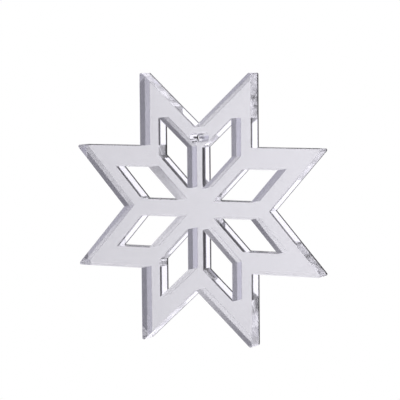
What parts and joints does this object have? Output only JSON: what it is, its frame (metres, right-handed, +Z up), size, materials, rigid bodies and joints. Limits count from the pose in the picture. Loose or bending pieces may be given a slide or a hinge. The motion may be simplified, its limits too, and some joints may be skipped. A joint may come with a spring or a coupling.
{
  "type": "mirror star ornament",
  "caption": "Flat pointed star ornament cut from mirror acrylic sheet, with open parallelogram cut-outs between its spokes and a small hole to hang it by.",
  "frame": {"origin": "centre of the hanging hole, half-way through the sheet", "axes": "+Z up as it hangs, +Y out of the painted back, so the mirror is seen from -Y"},
  "size_m": [0.0444, 0.003, 0.0444],
  "materials": {
    "clear_acrylic": "clear, polished by the laser on its cut edges",
    "mirror_metal": "bright vacuum-metallised film, seen through the clear sheet",
    "backing_paint": "matt grey protective paint"
  },
  "bodies": {
    "root": {"clear_sheet": "clear_acrylic", "mirror_film": "mirror_metal", "backing_coat": "backing_paint"}
  },
  "joints": []
}
